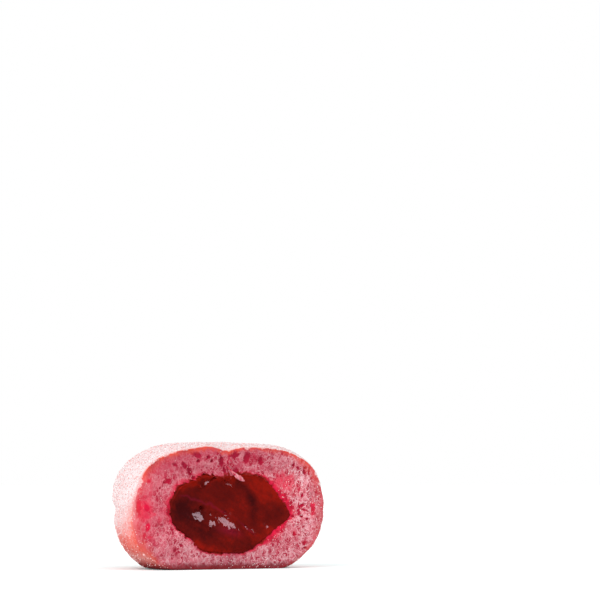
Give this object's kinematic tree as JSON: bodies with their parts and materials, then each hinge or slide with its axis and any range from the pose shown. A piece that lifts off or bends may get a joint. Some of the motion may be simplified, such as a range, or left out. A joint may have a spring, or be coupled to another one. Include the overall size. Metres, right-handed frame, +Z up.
{
  "type": "filled doughnut bite",
  "caption": "Small sugared round doughnut with its end sliced away, showing pink crumb, a thin fried crust and a pocket of red jam.",
  "frame": {"origin": "on the surface that it rests on, under the middle of what is left of the bite", "axes": "+X along the width of the cut, +Y into the bite and away from the cut, +Z up"},
  "size_m": [0.0502, 0.0318, 0.0295],
  "materials": {
    "dough": "matte, open pink crumb inside a thin orange-red fried crust",
    "jam": "wet gloss, smooth dark red fruit jam",
    "sugar": "matte, fine sugar grains with a faint sparkle"
  },
  "bodies": {
    "root": {"dough": "dough", "jam": "jam"}
  },
  "joints": []
}
